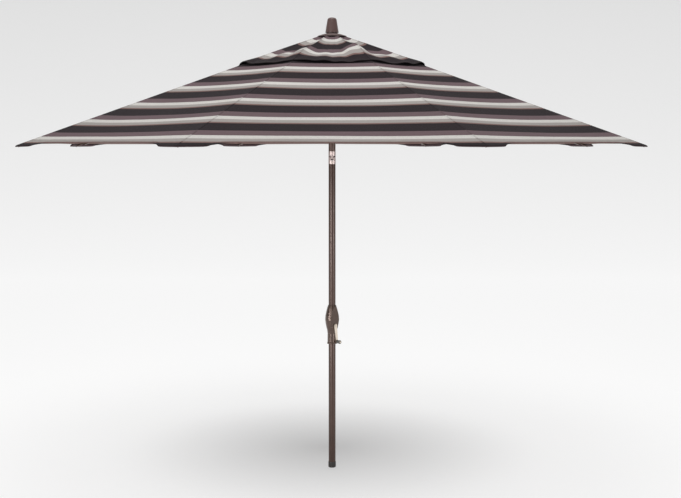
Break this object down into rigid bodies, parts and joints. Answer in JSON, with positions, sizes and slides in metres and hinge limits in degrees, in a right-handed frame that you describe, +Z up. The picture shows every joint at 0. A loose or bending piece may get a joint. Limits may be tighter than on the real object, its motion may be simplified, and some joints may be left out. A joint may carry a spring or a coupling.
{
  "type": "patio umbrella",
  "caption": "Round crank-lift patio umbrella with a tilting top, folding ribs and struts, a vented striped cloth canopy and a bare pole foot.",
  "frame": {"origin": "centre of the underside of the pole's foot cap, which is also the middle of the bottom of the whole umbrella", "axes": "+Z up along the pole, -Y to the front, the side that the tilt button faces and the top tilts to, +X to the right"},
  "size_m": [3.0968, 3.0968, 2.4643],
  "materials": {
    "bronze_powder_coat": "satin bronze powder coat",
    "taupe_metal": "satin",
    "pale_silver": "satin",
    "zinc_steel": "brushed",
    "black_plastic": "matte",
    "brown_plastic": "satin",
    "grey_plastic": "matte",
    "striped_canopy_cloth": "woven, matte"
  },
  "bodies": {
    "pole": {"foot_cap": "black_plastic", "lower_pole": "bronze_powder_coat", "crank_housing_left": "bronze_powder_coat", "crank_housing_right": "bronze_powder_coat", "housing_screw_lower": "zinc_steel", "housing_screw_upper": "zinc_steel", "crank_bushing": "black_plastic", "middle_pole": "bronze_powder_coat", "tilt_socket": "taupe_metal", "tilt_pin": "zinc_steel", "button_spring": "zinc_steel"},
    "tilt_button": {"tilt_button": "pale_silver"},
    "crank": {"crank_shaft": "zinc_steel", "cord_spool": "black_plastic", "crank_screw": "zinc_steel", "crank_arm": "pale_silver"},
    "crank_knob": {"crank_knob": "grey_plastic"},
    "top": {"tilt_tongue": "taupe_metal", "upper_pole": "bronze_powder_coat", "top_hub": "black_plastic", "hub_ring": "zinc_steel", "canopy_collar": "black_plastic", "finial": "brown_plastic", "pulley_axle": "zinc_steel"},
    "cord_pulley": {"cord_pulley": "black_plastic"},
    "runner": {"runner": "black_plastic", "runner_ring": "zinc_steel"},
    "rib_1": {"rib_1": "bronze_powder_coat", "canopy_1": "striped_canopy_cloth", "vent_1": "striped_canopy_cloth"},
    "rib_2": {"rib_2": "bronze_powder_coat", "canopy_2": "striped_canopy_cloth", "vent_2": "striped_canopy_cloth"},
    "rib_3": {"rib_3": "bronze_powder_coat", "canopy_3": "striped_canopy_cloth", "vent_3": "striped_canopy_cloth"},
    "rib_4": {"rib_4": "bronze_powder_coat", "canopy_4": "striped_canopy_cloth", "vent_4": "striped_canopy_cloth"},
    "rib_5": {"rib_5": "bronze_powder_coat", "canopy_5": "striped_canopy_cloth", "vent_5": "striped_canopy_cloth"},
    "rib_6": {"rib_6": "bronze_powder_coat", "canopy_6": "striped_canopy_cloth", "vent_6": "striped_canopy_cloth"},
    "rib_7": {"rib_7": "bronze_powder_coat", "canopy_7": "striped_canopy_cloth", "vent_7": "striped_canopy_cloth"},
    "rib_8": {"rib_8": "bronze_powder_coat", "canopy_8": "striped_canopy_cloth", "vent_8": "striped_canopy_cloth"},
    "strut_1": {"strut_1": "bronze_powder_coat"},
    "strut_2": {"strut_2": "bronze_powder_coat"},
    "strut_3": {"strut_3": "bronze_powder_coat"},
    "strut_4": {"strut_4": "bronze_powder_coat"},
    "strut_5": {"strut_5": "bronze_powder_coat"},
    "strut_6": {"strut_6": "bronze_powder_coat"},
    "strut_7": {"strut_7": "bronze_powder_coat"},
    "strut_8": {"strut_8": "bronze_powder_coat"}
  },
  "joints": [
    {"name": "tilt", "type": "hinge", "parent": "pole", "child": "top", "pos_m": [0, 0, 1.7], "axis": [1, 0, 0], "range_deg": [0, 30]},
    {"name": "button_press", "type": "slide", "parent": "pole", "child": "tilt_button", "axis": [0, 1, 0], "range_m": [0, 0.004], "stiffness_N_per_m": 400, "springref_m": -0.001, "deforming": ["button_spring"]},
    {"name": "crank_turn", "type": "hinge", "parent": "pole", "child": "crank", "pos_m": [0, 0, 0.784], "axis": [0.6428, -0.766, 0], "range_deg": [0, 3600]},
    {"name": "knob_spin", "type": "hinge", "parent": "crank", "child": "crank_knob", "pos_m": [0.00831, 0.00697, 0.69566], "axis": [0.6428, -0.766, 0], "continuous": true},
    {"name": "pulley_turn", "type": "hinge", "parent": "top", "child": "cord_pulley", "pos_m": [0.009, 0, 2.3], "axis": [0, 1, 0], "range_deg": [0, 4680]},
    {"name": "fold", "type": "hinge", "parent": "top", "child": "rib_1", "pos_m": [0.04619, 0.01913, 2.35], "axis": [-0.3827, 0.9239, 0], "range_deg": [0, 64], "deforming": ["canopy_1", "vent_1", "canopy_2", "vent_2", "canopy_3", "vent_3", "canopy_4", "vent_4", "canopy_5", "vent_5", "canopy_6", "vent_6", "canopy_7", "vent_7", "canopy_8", "vent_8"]},
    {"name": "strut_1_fold", "type": "hinge", "parent": "rib_1", "child": "strut_1", "pos_m": [0.64774, 0.2683, 2.09297], "axis": [-0.3827, 0.9239, 0], "range_deg": [-128, 0]},
    {"name": "rib_2_fold", "type": "hinge", "parent": "top", "child": "rib_2", "pos_m": [0.01913, 0.04619, 2.35], "axis": [-0.9239, 0.3827, 0], "range_deg": [0, 64]},
    {"name": "strut_2_fold", "type": "hinge", "parent": "rib_2", "child": "strut_2", "pos_m": [0.2683, 0.64774, 2.09297], "axis": [-0.9239, 0.3827, 0], "range_deg": [-128, 0]},
    {"name": "rib_3_fold", "type": "hinge", "parent": "top", "child": "rib_3", "pos_m": [-0.01913, 0.04619, 2.35], "axis": [-0.9239, -0.3827, 0], "range_deg": [0, 64]},
    {"name": "strut_3_fold", "type": "hinge", "parent": "rib_3", "child": "strut_3", "pos_m": [-0.2683, 0.64774, 2.09297], "axis": [-0.9239, -0.3827, 0], "range_deg": [-128, 0]},
    {"name": "rib_4_fold", "type": "hinge", "parent": "top", "child": "rib_4", "pos_m": [-0.04619, 0.01913, 2.35], "axis": [-0.3827, -0.9239, 0], "range_deg": [0, 64]},
    {"name": "strut_4_fold", "type": "hinge", "parent": "rib_4", "child": "strut_4", "pos_m": [-0.64774, 0.2683, 2.09297], "axis": [-0.3827, -0.9239, 0], "range_deg": [-128, 0]},
    {"name": "rib_5_fold", "type": "hinge", "parent": "top", "child": "rib_5", "pos_m": [-0.04619, -0.01913, 2.35], "axis": [0.3827, -0.9239, 0], "range_deg": [0, 64]},
    {"name": "strut_5_fold", "type": "hinge", "parent": "rib_5", "child": "strut_5", "pos_m": [-0.64774, -0.2683, 2.09297], "axis": [0.3827, -0.9239, 0], "range_deg": [-128, 0]},
    {"name": "rib_6_fold", "type": "hinge", "parent": "top", "child": "rib_6", "pos_m": [-0.01913, -0.04619, 2.35], "axis": [0.9239, -0.3827, 0], "range_deg": [0, 64]},
    {"name": "strut_6_fold", "type": "hinge", "parent": "rib_6", "child": "strut_6", "pos_m": [-0.2683, -0.64774, 2.09297], "axis": [0.9239, -0.3827, 0], "range_deg": [-128, 0]},
    {"name": "rib_7_fold", "type": "hinge", "parent": "top", "child": "rib_7", "pos_m": [0.01913, -0.04619, 2.35], "axis": [0.9239, 0.3827, 0], "range_deg": [0, 64]},
    {"name": "strut_7_fold", "type": "hinge", "parent": "rib_7", "child": "strut_7", "pos_m": [0.2683, -0.64774, 2.09297], "axis": [0.9239, 0.3827, 0], "range_deg": [-128, 0]},
    {"name": "rib_8_fold", "type": "hinge", "parent": "top", "child": "rib_8", "pos_m": [0.04619, -0.01913, 2.35], "axis": [0.3827, 0.9239, 0], "range_deg": [0, 64]},
    {"name": "strut_8_fold", "type": "hinge", "parent": "rib_8", "child": "strut_8", "pos_m": [0.64774, -0.2683, 2.09297], "axis": [0.3827, 0.9239, 0], "range_deg": [-128, 0]},
    {"name": "runner_level", "type": "hinge", "parent": "strut_1", "child": "runner", "pos_m": [0.04619, 0.01913, 1.83594], "axis": [-0.3827, 0.9239, 0], "range_deg": [0, 64]}
  ],
  "couplings": [
    {"joint": "strut_1_fold", "follows": "fold", "ratio": -2},
    {"joint": "rib_2_fold", "follows": "fold", "ratio": 1},
    {"joint": "strut_2_fold", "follows": "fold", "ratio": -2},
    {"joint": "rib_3_fold", "follows": "fold", "ratio": 1},
    {"joint": "strut_3_fold", "follows": "fold", "ratio": -2},
    {"joint": "rib_4_fold", "follows": "fold", "ratio": 1},
    {"joint": "strut_4_fold", "follows": "fold", "ratio": -2},
    {"joint": "rib_5_fold", "follows": "fold", "ratio": 1},
    {"joint": "strut_5_fold", "follows": "fold", "ratio": -2},
    {"joint": "rib_6_fold", "follows": "fold", "ratio": 1},
    {"joint": "strut_6_fold", "follows": "fold", "ratio": -2},
    {"joint": "rib_7_fold", "follows": "fold", "ratio": 1},
    {"joint": "strut_7_fold", "follows": "fold", "ratio": -2},
    {"joint": "rib_8_fold", "follows": "fold", "ratio": 1},
    {"joint": "strut_8_fold", "follows": "fold", "ratio": -2},
    {"joint": "runner_level", "follows": "fold", "ratio": 1},
    {"joint": "crank_turn", "follows": "fold", "ratio": 56.25},
    {"joint": "pulley_turn", "follows": "fold", "ratio": 73.125}
  ]
}
